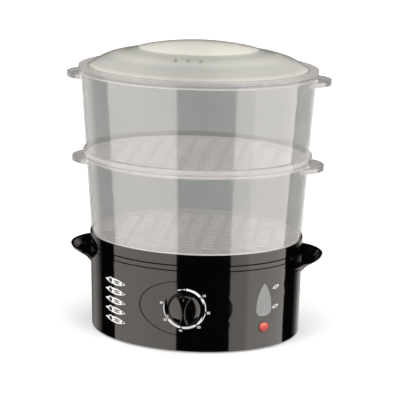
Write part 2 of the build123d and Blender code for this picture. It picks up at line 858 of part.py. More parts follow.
# ---------------------------------------------------------------- mains entry and wiring
with BuildPart() as cord_gland:
    with BuildSketch(back_plane.offset(back_face)):
        Circle(gland_flange_radius)
    extrude(amount=gland_flange_thickness)
    with BuildSketch(back_plane.offset(back_face - base_wall - 2 * gland_flange_thickness)):
        Circle(gland_radius)
    extrude(amount=base_wall + 2 * gland_flange_thickness)
    with BuildSketch(back_plane.offset(back_face - base_wall - 2 * gland_flange_thickness)):
        Circle(gland_radius / 2)
    extrude(amount=base_wall + 3 * gland_flange_thickness, mode=Mode.SUBTRACT)
save(cord_gland, "cord_gland")

with BuildPart() as gland_clip:
    with BuildSketch(back_plane.offset(back_face - base_wall - gland_flange_thickness)):
        Circle(gland_flange_radius)
        Circle(gland_radius + shaft_gap, mode=Mode.SUBTRACT)
    extrude(amount=gland_flange_thickness - 2 * part_gap)
save(gland_clip, "gland_clip")

block_width = 30.0
block_depth = 14.0
block_height = 13.0
block_y = 50.0
block_pitch = 9.0
block_corner = 2.0
clamp_radius = 1.9
with BuildPart() as terminal_block:
    with BuildSketch(Plane.XY.offset(cover_top)):
        with Locations((0, block_y)):
            RectangleRounded(block_width, block_depth, block_corner)
    extrude(amount=block_height)
    with BuildSketch(Plane.XY.offset(cover_top + block_height)):
        with Locations((0, block_y)):
            with GridLocations(block_pitch, 0, 3, 1):
                Circle(clamp_radius + shaft_gap)
    extrude(amount=-block_height / 2, mode=Mode.SUBTRACT)
save(terminal_block, "terminal_block")

with BuildPart() as terminal_screws:
    with BuildSketch(Plane.XY.offset(cover_top + block_height)):
        with Locations((0, block_y)):
            with GridLocations(block_pitch, 0, 3, 1):
                Circle(clamp_radius)
    extrude(amount=-block_height / 2)
save(terminal_screws, "terminal_screws")

wire_radius = 1.2
lamp_wire_radius = 0.8
bend_radius = 3.0
wire_level = cover_top + block_height / 3
low_level = cover_top + 2 * lamp_wire_radius
block_front = block_y - block_depth / 2
stud_low = leg_low - stud_length
tab_low = timer_underside - tab_length
tab_middle = timer_underside - tab_length / 2
cutout_tab_x = cutout_radius + (cutout_tab_half_width - cutout_radius) / 2
cutout_tab_y = basin_y + tab_width / 2
cutout_tab_level = cutout_low + cutout_height / 2
bracket_screw_low = boss_low - bracket_thickness - screw_head_height


def behind_lamp(side, depth):
    """A point behind the pilot lamp, beside its axis."""
    return tuple(lamp_plane.from_local_coords((side, 0, -depth)))


def lead(routes, radius):
    """Insulated leads, each a round tube of straight runs and tangent arcs."""
    with BuildPart() as wire:
        for route in routes:
            with BuildLine() as path:
                FilletPolyline(*route, radius=bend_radius)
            with BuildSketch(Plane(origin=path.line @ 0, z_dir=path.line % 0)) as end:
                Circle(radius)
            sweep(end.sketch, path=path.line)
    return wire


# Each route runs from its clamp to its tab through the free space under the tank.
live_route = [
    (-block_pitch, block_front, wire_level),
    (-block_pitch, 24, wire_level),
    (-22, 0, wire_level),
    (-22, -50, wire_level),
    (-tab_offset, timer_tab_y, wire_level + 2),
    (-tab_offset, timer_tab_y, tab_low),
]
neutral_route = [
    (0, block_front, wire_level),
    (0, 24, wire_level),
    (leg_x, 2, wire_level),
    (leg_x, leg_y, wire_level + 2),
    (leg_x, leg_y, stud_low),
]
earth_route = [
    (block_pitch, block_front, wire_level),
    (block_pitch, 30, wire_level),
    (bracket_half_span, basin_y, wire_level + 2),
    (bracket_half_span, basin_y, bracket_screw_low),
]
switched_route = [
    (tab_offset, timer_tab_y, tab_low),
    (tab_offset, timer_tab_y, 13),
    (34, -36, 12),
    (42, 8, 14),
    (28, 36, 26),
    (cutout_tab_x, 32, cutout_tab_level),
    (cutout_tab_x, cutout_tab_y, cutout_tab_level),
]
fuse_route = [
    (-cutout_tab_x, cutout_tab_y, cutout_tab_level),
    (-cutout_tab_x, 32, cutout_tab_level),
    (-28, 36, 26),
    (-40, 14, 17),
    (-36, -22, 16),
    (-leg_x - 6, leg_y - 9, 15),
    (-leg_x, leg_y, 16),
    (-leg_x, leg_y, stud_low),
]
lamp_live_route = [
    (tab_offset + tab_width / 2, timer_tab_y, tab_middle),
    (24, timer_tab_y, tab_middle),
    (46, -52, 20),
    (60, -28, 26),
    behind_lamp(-1.5, holder_front + holder_length + 12),
    behind_lamp(-1.5, holder_front + holder_length),
]
lamp_neutral_route = [
    (block_pitch / 2, block_front, low_level),
    (block_pitch / 2, 36, low_level),
    (40, 24, low_level),
    (50, 0, low_level),
    (57, -22, 17),
    behind_lamp(1.5, holder_front + holder_length + 12),
    behind_lamp(1.5, holder_front + holder_length),
]
save(lead([live_route], wire_radius), "live_lead")
save(lead([neutral_route], wire_radius), "neutral_lead")
save(lead([earth_route], wire_radius), "earth_lead")
save(lead([switched_route], wire_radius), "switched_lead")
save(lead([fuse_route], wire_radius), "fuse_lead")
save(lead([lamp_live_route, lamp_neutral_route], lamp_wire_radius), "lamp_leads")

fuse_radius = 2.3
fuse_length = 14.0
fuse_run = (Vector(*fuse_route[3]), Vector(*fuse_route[4]))
fuse_plane = Plane(
    origin=(fuse_run[0] + fuse_run[1]) / 2,
    z_dir=fuse_run[1] - fuse_run[0],
)
with BuildPart() as thermal_fuse:
    with BuildSketch(fuse_plane):
        Circle(fuse_radius)
        Circle(wire_radius + shaft_gap, mode=Mode.SUBTRACT)
    extrude(amount=fuse_length / 2, both=True)
save(thermal_fuse, "thermal_fuse")

# ---------------------------------------------------------------- drip tray
tray_floor = 100.8
tray_basin_inset = base_wall + part_gap
seat_level = 119.6  # the lower basket stands here, inside the collar's thin edge
seat_thickness = 2.0
seat_width = 3.2
edge_wall = 1.0
chimney_half = 54.0
chimney_depth = 40.0
chimney_top = 113.5
chimney_slots = 14
chimney_slot_width = 7.0
chimney_slot_height = 4.5
tray_flange = 2.0


def tray_half_at(level):
    """Half width of the sloping collar at a level."""
    share = (level - base_lip_level) / (collar_top_level - base_lip_level)
    return base_lip_half + (collar_top_half - base_lip_half) * share


with BuildPart() as drip_tray:
    flange_top = base_lip_level + tray_flange
    seat_low = seat_level - seat_thickness
    oval_body([(base_lip_half, base_lip_level), (collar_top_half, collar_top_level)])
    oval_body([(base_top_half, tray_floor), (base_top_half, flange_top)], tray_basin_inset)
    oval_ring(
        base_lip_half,
        -seam_depth,
        2 * seam_depth,
        base_lip_level,
        seam_width,
        Mode.SUBTRACT,
    )
    for levels, inset in (
        (
            [(base_top_half, tray_floor + tray_wall), (base_top_half, flange_top)],
            tray_basin_inset + tray_wall,
        ),
        (
            [(tray_half_at(flange_top), flange_top), (tray_half_at(seat_low), seat_low)],
            edge_wall,
        ),
        (
            [(collar_top_half, seat_low), (collar_top_half, seat_level)],
            edge_wall + seat_width,
        ),
        (
            [(tray_half_at(seat_level), seat_level), (collar_top_half, collar_top_level)],
            edge_wall,
        ),
    ):
        oval_body(levels, inset, Mode.SUBTRACT)
    with BuildSketch(Plane.XY.offset(tray_floor)):
        Ellipse(chimney_half, chimney_depth)
    extrude(amount=chimney_top - tray_floor)
    with BuildSketch(Plane.XY.offset(tray_floor)):
        Ellipse(chimney_half - tray_wall, chimney_depth - tray_wall)
    extrude(amount=chimney_top - tray_floor - tray_wall / 2, mode=Mode.SUBTRACT)
    for index in range(chimney_slots):
        angle = 360 * (index + 0.5) / chimney_slots
        slot_level = chimney_top - tray_wall / 2 - chimney_slot_height
        slot_place = Plane.XY.offset(slot_level).rotated((0, 0, angle))
        with Locations(slot_place):
            Box(
                chimney_half + tray_wall,
                chimney_slot_width,
                chimney_slot_height,
                align=(Align.MIN, Align.CENTER, Align.MIN),
                mode=Mode.SUBTRACT,
            )
save(drip_tray, "drip_tray")

# ---------------------------------------------------------------- baskets
spigot_depth = 5.0
spigot_wall = 1.6
rim_wall = 1.6
slot_length = 14.0
slot_width = 3.6
slot_pitch_x = 21.0
slot_pitch_y = 10.0
slot_margin = 12.0
ear_wall = 2.2
ear_web = 2.0
ear_top_drop = 2.0  # all three drops are from the rim's level
ear_web_drop = 5.4
ear_foot_drop = 7.7
ear_run = 36.0
ear_half_depth = 31.0
rib_thickness = 1.2
rib_stand = 0.5


def basket(bottom_half, seat, top_half, rim_half, rim_level, lip_height, socket, reach, ribs):
    """Clear oval basket: slotted floor, locating spigot, lipped rim, two ears.

    The socket is the (half width, inset) of the oval that the spigot drops into.
    """
    wall_levels = [(bottom_half, seat), (top_half, rim_level)]
    ear_centre = reach - ear_run
    socket_half, socket_inset = socket
    spigot_inset = socket_inset + part_gap
    with BuildPart() as shell:
        oval_body(wall_levels)
        ear_lobes(
            ear_centre,
            reach,
            ear_half_depth,
            rim_level - ear_foot_drop,
            ear_foot_drop - ear_top_drop,
        )
        ear_lobes(
            ear_centre,
            reach,
            ear_half_depth,
            rim_level - ear_web_drop + ear_web,
            ear_web_drop - ear_web - ear_top_drop,
            inset=ear_wall,
            mode=Mode.SUBTRACT,
        )
        ear_lobes(
            ear_centre,
            reach,
            ear_half_depth,
            rim_level - ear_foot_drop,
            ear_foot_drop - ear_web_drop,
            inset=ear_wall,
            mode=Mode.SUBTRACT,
        )
        oval_body(wall_levels)
        ledge_top = rim_level + basket_wall
        oval_body([(rim_half, rim_level), (rim_half, ledge_top)])
        oval_body([(top_half, rim_level), (top_half, ledge_top)], basket_wall, Mode.SUBTRACT)
        oval_ring(rim_half, 0, rim_wall, rim_level, lip_height)
        rib_turns = [radians(360 * (index + 0.5) / ribs) for index in range(ribs)]
        for turn in rib_turns:
            rib_y = rim_half * depth_ratio * sin(turn)
            if abs(rib_y) < ear_half_depth:
                continue  # the ears are plain
            with Locations(
                Location(
                    (rim_half * cos(turn), rib_y, rim_level),
                    (0, 0, degrees(atan2(sin(turn), depth_ratio * cos(turn)))),
                )
            ):
                Box(
                    2 * rib_stand,
                    rib_thickness,
                    lip_height,
                    align=(Align.CENTER, Align.CENTER, Align.MIN),
                )
        oval_body(wall_levels, inset=basket_wall, mode=Mode.SUBTRACT)
        with BuildSketch(Plane.XY.offset(seat)):
            floor_inset = basket_wall / 2
            Ellipse(bottom_half - floor_inset, bottom_half * depth_ratio - floor_inset)
        extrude(amount=basket_wall)
        oval_ring(socket_half, spigot_inset, spigot_wall, seat - spigot_depth, spigot_depth)
        free_half = socket_half - spigot_inset - spigot_wall - slot_margin
        free_depth = free_half * depth_ratio
        columns = int(free_half / slot_pitch_x)
        rows = int(free_depth / slot_pitch_y)
        slot_places = [
            (column * slot_pitch_x, row * slot_pitch_y)
            for column in range(-columns, columns + 1)
            for row in range(-rows, rows + 1)
            if hypot(column * slot_pitch_x / free_half, row * slot_pitch_y / free_depth) < 1
        ]
        with BuildSketch(Plane.XY.offset(seat)):
            with Locations(*slot_places):
                SlotOverall(slot_length, slot_width)
        extrude(amount=basket_wall, mode=Mode.SUBTRACT)
    return shell


lower_lip_height = 9.0
lower_ribs = 18
lower_wall_bottom_half = collar_top_half - (edge_wall + part_gap) / depth_ratio
lower_wall_lean = (lower_wall_top_half - lower_wall_bottom_half) / (lower_rim_level - seat_level)
lower_basket = basket(
    lower_wall_bottom_half,
    seat_level,
    lower_wall_top_half,
    lower_rim_half,
    lower_rim_level,
    lower_lip_height,
    (collar_top_half, edge_wall + seat_width),
    lower_ear_reach,
    lower_ribs,
)
save(lower_basket, "lower_basket")

upper_seat = lower_rim_level + basket_wall
upper_lip_height = 5.5
upper_wall_bottom_half = lower_wall_top_half
upper_basket = basket(
    upper_wall_bottom_half,
    upper_seat,
    upper_wall_top_half,
    upper_rim_half,
    upper_rim_level,
    upper_lip_height,
    (lower_wall_top_half - spigot_depth * lower_wall_lean, basket_wall),
    upper_ear_reach,
    0,
)
save(upper_basket, "upper_basket")

# ---------------------------------------------------------------- lid
lid_flange = 2.3
lid_skirt_depth = 3.4
lid_rise = 29.6
lid_crown_half = 90.0  # where the flatter crown meets the steeper shoulder
lid_crown_rise = 13.4
lid_shoulder_bulge = 3.3
lid_panel_half = 71.0  # raised oval panel on the crown
lid_panel_step = 0.6
vent_radius = 1.6
vent_lip_radius = 2.8
vent_lip_height = 0.9
vent_spacing = 14.4
vent_row_x = -3.3
vent_row_y = 62.0  # in front of the axis
vents = 3

lid_level = upper_rim_level + upper_lip_height
dome_level = lid_level + lid_flange


crown_fall = lid_crown_rise - lid_panel_step
crown_radius = (lid_crown_half**2 + crown_fall**2) / (2 * crown_fall)


def crown_drop(run):
    """Fall of the crown's arc under its top, at a distance from the axis."""
    return crown_radius - sqrt(crown_radius**2 - run**2)


def crown_level(rise, run):
    """Level of the crown outside its raised panel."""
    return dome_level + rise - lid_panel_step - crown_drop(run)


def dome(half_width, rise):
    """Domed oval cap on the lid's flange: a steep shoulder, then a flatter crown."""
    shoulder_rise = rise - lid_crown_rise
    shoulder_run = half_width - lid_crown_half
    bulge = lid_shoulder_bulge / hypot(shoulder_rise, shoulder_run)
    with BuildSketch(Plane.XZ) as profile:
        with BuildLine():
            base = Line((0, dome_level), (half_width, dome_level))
            crease = (lid_crown_half, dome_level + shoulder_rise)
            panel_edge = (lid_panel_half, dome_level + rise - crown_drop(lid_panel_half))
            panel_foot = lid_panel_half + lid_panel_step
            crown_edge = (panel_foot, crown_level(rise, panel_foot))
            crown_middle = (lid_panel_half + lid_crown_half) / 2
            middle = (
                lid_crown_half + shoulder_run / 2 + bulge * shoulder_rise,
                dome_level + shoulder_rise / 2 + bulge * shoulder_run,
            )
            ThreePointArc(base @ 1, middle, crease)
            ThreePointArc(crease, (crown_middle, crown_level(rise, crown_middle)), crown_edge)
            Line(crown_edge, panel_edge)
            panel = TangentArc((0, dome_level + rise), panel_edge, tangent=(1, 0))
            Line(panel @ 0, base @ 0)
        make_face()
    round_dome = revolve(profile.sketch, axis=Axis.Z)
    return scale(round_dome, by=(1, depth_ratio, 1))


outer_dome = dome(lid_dome_half, lid_rise)
inner_dome = dome(lid_dome_half - lid_wall, lid_rise - lid_wall)
vent_run = vent_row_y / depth_ratio
vent_slope = vent_run / (crown_radius - crown_drop(vent_run)) / depth_ratio
vent_plane = Plane(
    origin=(vent_row_x, -vent_row_y, crown_level(lid_rise, vent_run)),
    x_dir=(1, 0, 0),
    z_dir=(0, -vent_slope, 1),
)

with BuildPart() as lid:
    with BuildSketch(Plane.XY.offset(lid_level)):
        Ellipse(upper_rim_half, upper_rim_half * depth_ratio)
    extrude(amount=lid_flange)
    add(outer_dome)
    with BuildSketch(vent_plane.offset(-lid_wall)):
        with GridLocations(vent_spacing, 0, vents, 1):
            Circle(vent_lip_radius)
    extrude(amount=lid_wall + vent_lip_height)
    with BuildSketch(Plane.XY.offset(lid_level)):
        inner_half = lid_dome_half - lid_wall
        Ellipse(inner_half, inner_half * depth_ratio)
    extrude(amount=lid_flange, mode=Mode.SUBTRACT)
    add(inner_dome, mode=Mode.SUBTRACT)
    with BuildSketch(vent_plane.offset(-2 * lid_wall)):
        with GridLocations(vent_spacing, 0, vents, 1):
            Circle(vent_radius)
    extrude(amount=3 * lid_wall + vent_lip_height, mode=Mode.SUBTRACT)
    oval_ring(
        upper_rim_half,
        rim_wall + part_gap,
        rim_wall,
        lid_level - lid_skirt_depth,
        lid_skirt_depth,
    )
save(lid, "lid")
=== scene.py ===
import bpy
from math import cos, hypot, pi, radians, sin, sqrt
from mathutils import Matrix, Vector


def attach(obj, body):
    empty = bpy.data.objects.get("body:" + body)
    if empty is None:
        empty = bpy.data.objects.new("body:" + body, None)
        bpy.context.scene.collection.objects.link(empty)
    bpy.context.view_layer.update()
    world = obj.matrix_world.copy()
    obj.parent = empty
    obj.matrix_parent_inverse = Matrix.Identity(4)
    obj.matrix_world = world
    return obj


# The electric food steamer as it is packed: a black base, a drip tray, two baskets and a lid.
# Every CAD node comes in here and keeps its shape; the sections below give each its finish.
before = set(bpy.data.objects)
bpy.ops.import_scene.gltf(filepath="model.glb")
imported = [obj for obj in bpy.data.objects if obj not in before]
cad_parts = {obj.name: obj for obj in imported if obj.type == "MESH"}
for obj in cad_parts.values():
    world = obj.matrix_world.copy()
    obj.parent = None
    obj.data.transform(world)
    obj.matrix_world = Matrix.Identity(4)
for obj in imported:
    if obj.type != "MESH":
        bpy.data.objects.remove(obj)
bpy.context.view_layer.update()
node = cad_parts

# ------------------------------------------------------------------ worktop and backdrop
# A matt white sheet lies under the steamer and rolls up behind it in one smooth sweep.
# It is paper, bent over a wide curve. Far from the steamer it glows to the eye alone, so that
# it runs out to white and still holds the shadow.
sheet_half_width = 4.0
sheet_front = -3.2
sheet_bend_start = 2.2
sheet_bend_radius = 1.0
sheet_height = 3.4
glow_near, glow_far = (0.18, 0.33), (1.3, 0.90)


def wiring(material):
    """A material's shader, a function that adds a node and one that joins two sockets. A node's
    sockets are given in order or by name, each as a number or as the socket that feeds it."""
    tree = material.node_tree

    def part(kind, *values, operation=None, **links):
        made = tree.nodes.new(kind)
        if operation:
            made.operation = operation
        named = [(socket.replace("_", " "), value) for socket, value in links.items()]
        for socket, value in list(enumerate(values)) + named:
            if isinstance(value, bpy.types.NodeSocket):
                tree.links.new(value, made.inputs[socket])
            else:
                made.inputs[socket].default_value = value
        return made

    return tree.nodes["Principled BSDF"], part, tree.links.new


def procedural(name):
    """A new material, with what wiring gives for it."""
    material = bpy.data.materials.new(name)
    material.use_nodes = True
    return (material, *wiring(material))


def ramp_of(part, value, stops):
    """A colour ramp through these stops, each a place from 0 to 1 and its colour."""
    ramp = part("ShaderNodeValToRGB", value)
    elements = ramp.color_ramp.elements
    while len(elements) < len(stops):
        elements.new(0.5)
    for element, (at, colour) in zip(elements, stops):
        element.position, element.color = at, (*colour, 1)
    return ramp.outputs["Color"]


def shift(part, value, from_low, from_high, to_low=0.0, to_high=1.0):
    """The value carried from one span of numbers to another, and held at its ends."""
    return part("ShaderNodeMapRange", value, from_low, from_high, to_low, to_high).outputs["Result"]


def maths(part, operation, *values):
    """The result of one sum on these values."""
    return part("ShaderNodeMath", *values, operation=operation).outputs["Value"]


def length_of(part, vector):
    """How long a vector is."""
    return part("ShaderNodeVectorMath", vector, operation="LENGTH").outputs["Value"]


def finish(name, low, high, grain, rough, bump=0.0, **sockets):
    """Moulded or drawn stock: colour drifts from low to high over the grain, which is in
    metres, gloss drifts between the two roughness values, and bump is its relief in metres."""
    material, shader, part, link = procedural(name)
    place = part("ShaderNodeTexCoord").outputs["Object"]
    drift = part("ShaderNodeTexNoise", Vector=place, Scale=1 / grain, Detail=4.0)
    link(ramp_of(part, drift.outputs["Fac"], ((0.3, low), (0.7, high))), shader.inputs["Base Color"])
    fine = part("ShaderNodeTexNoise", Vector=place, Scale=6 / grain, Detail=3.0)
    link(shift(part, fine.outputs["Fac"], 0.0, 1.0, *rough), shader.inputs["Roughness"])
    if bump:
        relief = part("ShaderNodeBump", Height=fine.outputs["Fac"], Distance=bump)
        link(relief.outputs["Normal"], shader.inputs["Normal"])
    for socket, value in sockets.items():
        shader.inputs[socket.replace("_", " ")].default_value = value
    return material


def dress(material, *names):
    """Gives these CAD nodes their finish."""
    for name in names:
        slots = node[name].data.materials
        slots.clear()
        slots.append(material)


def sheet_profile():
    """The sweep's section, from its front edge over the bend to its top, as (y, z)."""
    points = [(sheet_front, 0.0), (sheet_bend_start, 0.0)]
    for step in range(1, 25):
        turn = radians(90 * step / 24)
        y = sheet_bend_start + sheet_bend_radius * sin(turn)
        points.append((y, sheet_bend_radius * (1 - cos(turn))))
    return points + [(sheet_bend_start + sheet_bend_radius, sheet_height)]


def mesh_piece(name, points, faces, material):
    """A mesh object from points and faces, in place and dressed."""
    mesh = bpy.data.meshes.new(name)
    mesh.from_pydata([tuple(p) for p in points], [], faces)
    mesh.materials.append(material)
    for face in mesh.polygons:
        face.use_smooth = True
    made = bpy.data.objects.new(name, mesh)
    bpy.context.scene.collection.objects.link(made)
    return made


paper = finish(
    "white_paper", (0.60, 0.60, 0.595), (0.62, 0.62, 0.615), 0.4, (0.8, 0.9), Specular_IOR_Level=0.1
)
rows = sheet_profile()
backdrop = mesh_piece(
    "backdrop_sheet",
    [(side * sheet_half_width, y, z) for y, z in rows for side in (-1, 1)],
    [(2 * k, 2 * k + 1, 2 * k + 3, 2 * k + 2) for k in range(len(rows) - 1)],
    paper,
)
shader, part, link = wiring(paper)
from_middle = length_of(part, part("ShaderNodeTexCoord").outputs["Object"])
glow = shift(part, from_middle, glow_near[0], glow_far[0], glow_near[1], glow_far[1])
seen = part("ShaderNodeLightPath").outputs["Is Camera Ray"]
link(maths(part, "MULTIPLY", seen, glow), shader.inputs["Emission Strength"])
shader.inputs["Emission Color"].default_value = (1, 1, 1, 1)
backdrop.visible_glossy = False

# ------------------------------------------------------------------ base housing
# The black base is one deep oval moulding in hard glossy plastic, polished in the tool, with
# two dished handles. The drip tray over it is moulded in the same black.
piano_black = finish(
    "gloss_black_moulding", (0.0010, 0.0010, 0.0010), (0.0018, 0.0016, 0.0015), 0.09, (0.045, 0.075),
    Specular_IOR_Level=0.47,
)
dress(piano_black, "timer_knob")
seam_levels = (0.101, 0.1074)
seam_reach = 0.00065
dial_line_half, dial_line_middle = (0.055, 0.034), 0.055
dial_line_reach, dial_line_gloss = 0.014, 0.3


def seamed_black():
    """The same black with painted shade in its grooves: the gloss is taken away along two round the body
    and along the dial's oval, so that they read dark.
    """
    material = piano_black.copy()
    material.name = "gloss_black_with_painted_seam_shade"
    shader, part, link = wiring(material)
    place = part("ShaderNodeTexCoord").outputs["Object"]
    axes = part("ShaderNodeSeparateXYZ", place)
    offs = [maths(part, "SUBTRACT", axes.outputs["Z"], level) for level in seam_levels]
    nearest = maths(part, "MINIMUM", *(maths(part, "ABSOLUTE", off) for off in offs))
    seam = shift(part, nearest, seam_reach * 0.8, seam_reach * 1.2)
    half_width, half_height = dial_line_half
    oval = part("ShaderNodeMapping", Vector=place, Location=(0, 0, -dial_line_middle / half_height))
    oval.inputs["Scale"].default_value = (1 / half_width, 0, 1 / half_height)
    stray = maths(part, "SUBTRACT", length_of(part, oval.outputs["Vector"]), 1 - dial_line_reach)
    apart = maths(part, "ABSOLUTE", stray)
    line = shift(part, apart, dial_line_reach * 0.8, dial_line_reach * 1.4, dial_line_gloss)
    behind = maths(part, "GREATER_THAN", axes.outputs["Y"], 0.0)
    # painted shade: the gloss falls away in the seams and in the front half of the dial line
    gloss_outside_painted_shade = maths(part, "MULTIPLY", seam, maths(part, "MAXIMUM", line, behind))
    gloss = shader.inputs["Specular IOR Level"]
    link(maths(part, "MULTIPLY", gloss_outside_painted_shade, gloss.default_value), gloss)
    return material


dress(seamed_black(), "base_housing", "drip_tray")

# ------------------------------------------------------------------ underside and fittings
# The cover under the base, the gland at the back and the lamp holder are plain moulded black.
# Feet are soft rubber buttons pushed through the cover.
spark_black = finish(
    "matt_black_moulding", (0.018, 0.018, 0.018), (0.03, 0.03, 0.03), 0.004, (0.5, 0.65), 0.00004
)
dress(spark_black, "bottom_cover", "cord_gland", "gland_clip")
dress(spark_black, "lamp_holder", "timer_case", "thermal_cutout")
foot_rubber = finish("foot_rubber", (0.02, 0.02, 0.02), (0.04, 0.04, 0.04), 0.003, (0.75, 0.9), 0.00005)
dress(foot_rubber, "rubber_feet")

# ------------------------------------------------------------------ tank, ring and heater
# The tank and the loose ring round the heater are light grey polypropylene. The heater is a
# stainless tube bent to a ring, browned a little by use, on silicone seals.
tank_grey = finish("tank_polypropylene", (0.34, 0.34, 0.335), (0.40, 0.40, 0.39), 0.03, (0.3, 0.4), 0.00002)
dress(tank_grey, "water_tank", "turbo_ring")
heater_skin = finish(
    "stainless_sheath", (0.30, 0.27, 0.23), (0.52, 0.50, 0.47), 0.02, (0.25, 0.4), 0.00002, Metallic=1.0
)
dress(heater_skin, "heating_element", "sensor_plate")
silicone = finish("seal_silicone", (0.62, 0.60, 0.57), (0.70, 0.68, 0.65), 0.006, (0.45, 0.6), 0.00002)
dress(silicone, "element_seals", "sensor_seal", "gauge_seal")

# ------------------------------------------------------------------ screws, tabs and brackets
# Screws, nuts, tabs, brackets and the timer's bell are pressed, turned or threaded steel,
# plated with bright zinc.
zinc = finish(
    "zinc_plate", (0.50, 0.50, 0.49), (0.66, 0.66, 0.65), 0.004, (0.22, 0.38), 0.00001, Metallic=1.0
)
dress(
    zinc, "cover_screws", "timer_bell", "timer_tabs", "timer_shaft", "timer_screws", "element_nuts",
    "cutout_bracket", "bracket_screws", "terminal_screws",
)

# ------------------------------------------------------------------ wiring
# The leads have coloured insulation and join the terminal block, timer, cut-out, heater and
# lamp. The block is natural nylon, and the body of the fuse is as pale.
insulation = {
    "live_lead": (0.20, 0.09, 0.04), "switched_lead": (0.20, 0.09, 0.04), "fuse_lead": (0.20, 0.09, 0.04),
    "neutral_lead": (0.03, 0.10, 0.40), "earth_lead": (0.22, 0.42, 0.05), "lamp_leads": (0.7, 0.7, 0.67),
}
for lead, colour in insulation.items():
    paler = tuple(min(1.0, 1.2 * c + 0.01) for c in colour)
    dress(finish("insulation_" + lead, colour, paler, 0.01, (0.35, 0.5)), lead)
nylon = finish("natural_nylon", (0.70, 0.69, 0.64), (0.78, 0.77, 0.72), 0.008, (0.4, 0.55), 0.00002)
dress(nylon, "terminal_block", "thermal_fuse")

# ------------------------------------------------------------------ pilot lamp and gauge
# A red moulded lens clips into the front over a neon bulb. The gauge is a pointed window in
# milky grey plastic, through which the water level shows.
lens_highlight_pale, lens_middle, lens_rim_shade = (0.80, 0.20, 0.13), (0.50, 0.022, 0.014), (0.10, 0.004, 0.003)
lens_highlight_span = (0.026, 0.033)


def lens_plastic():
    """Clear red plastic in its own red, with painted shade and a painted highlight: deep red at the rim,
    where it is seen edge on, and paler towards the top.
    """
    material, shader, part, link = procedural("lens_red")
    place = part("ShaderNodeTexCoord")
    facing = part("ShaderNodeLayerWeight", Blend=0.5)
    axes = part("ShaderNodeSeparateXYZ", place.outputs["Object"])
    # painted highlight towards the top and painted shade at the rim, where the lens is seen edge on
    up = shift(part, axes.outputs["Z"], *lens_highlight_span)
    rim_shade_and_highlight = shift(part, maths(part, "SUBTRACT", facing.outputs["Facing"], up), -0.9, 0.65)
    stops = ((0.0, lens_highlight_pale), (0.5, lens_middle), (1.0, lens_rim_shade))
    link(ramp_of(part, rim_shade_and_highlight, stops), shader.inputs["Base Color"])
    fine = part("ShaderNodeTexNoise", Vector=place.outputs["Object"], Scale=900.0, Detail=2.0)
    link(shift(part, fine.outputs["Fac"], 0.0, 1.0, 0.12, 0.2), shader.inputs["Roughness"])
    shader.inputs["Specular IOR Level"].default_value = 0.35
    return material


dress(lens_plastic(), "pilot_lens")
pointer_red = finish("pointer_red", (0.09, 0.025, 0.025), (0.13, 0.04, 0.04), 0.003, (0.35, 0.45))
dress(pointer_red, "knob_pointer")
bulb_glass = finish("bulb_glass", (0.75, 0.62, 0.5), (0.8, 0.7, 0.6), 0.004, (0.05, 0.08), Alpha=0.5)
dress(bulb_glass, "neon_lamp")
gauge_milk = finish(
    "gauge_milky", (0.19, 0.205, 0.20), (0.225, 0.24, 0.235), 0.02, (0.2, 0.3), Specular_IOR_Level=0.5
)
dress(gauge_milk, "gauge_window")

# ------------------------------------------------------------------ printing on the front
# White ink on the black moulding: a ring of minutes round the knob, with its numbers, five
# leaf marks on the left for kinds of food, and two small marks beside the gauge.
depth_ratio = 0.715
wall_low, wall_high = (0.127, 0.002), (0.1282, 0.101)
ink_lift = 0.00012
ink = finish("white_ink", (0.86, 0.85, 0.83), (0.92, 0.91, 0.89), 0.004, (0.35, 0.5))
dark_ink = finish("dark_ink", (0.01, 0.01, 0.01), (0.02, 0.02, 0.02), 0.004, (0.3, 0.4))


def on_front(x, z, lift=ink_lift):
    """The point of the base's front wall at that x and z, a hair's breadth proud of it."""
    share = (z - wall_low[1]) / (wall_high[1] - wall_low[1])
    half = wall_low[0] + (wall_high[0] - wall_low[0]) * share
    y = -depth_ratio * sqrt(half * half - x * x)
    out = Vector((x * depth_ratio, y / depth_ratio, 0)).normalized()
    return Vector((x, y, z)) + out * lift


def printed(name, rings, material=None, lift=ink_lift):
    """Ink between pairs of closed or open outlines, each a list of (x, z) of one length."""
    points, faces = [], []
    for inner, outer, closed in rings:
        start, count = len(points), len(inner)
        for a, b in zip(inner, outer):
            points += [on_front(*a, lift), on_front(*b, lift)]
        for k in range(count if closed else count - 1):
            n = (k + 1) % count
            faces.append((start + 2 * k, start + 2 * k + 1, start + 2 * n + 1, start + 2 * n))
    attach(mesh_piece(name, points, faces, material or ink), "base")


ring_radius, ring_stroke = 0.0236, 0.0027
tick_turns = (53, 99, 143, 189.5, 236, 281)
tick_gap, tick_dot = 3.6, 0.00078


def ring_point(turn, radius):
    """A point round the knob, by its turn from the top in degrees."""
    return radius * sin(radians(turn)), dial_line_middle + radius * cos(radians(turn))


def ring_arc(low, high, stroke):
    """Inner and outer edge of a stretch of the ring."""
    turns = [low + (high - low) * k / 20 for k in range(21)]
    return (
        [ring_point(t, ring_radius - stroke / 2) for t in turns],
        [ring_point(t, ring_radius + stroke / 2) for t in turns],
        False,
    )


def disc(cx, cz, radius, count=16):
    """A round spot of ink."""
    turns = [2 * pi * n / count for n in range(count)]
    return [(cx, cz)] * count, [(cx + radius * cos(t), cz + radius * sin(t)) for t in turns], True


def ring_dot(turn, radius):
    """A round dot in the ring."""
    return disc(*ring_point(turn, ring_radius), radius)


edges = (0,) + tick_turns
arcs = [ring_arc(a + tick_gap, b - tick_gap, ring_stroke) for a, b in zip(edges[:-1], edges[1:])]
arcs += [ring_dot(turn, tick_dot) for turn in tick_turns + (-1,)]
arcs += [ring_dot(-6.5, 0.0006), ring_arc(-20.5, -11, 0.0012)]  # a plain mark at the off position
printed("minute_ring", arcs)

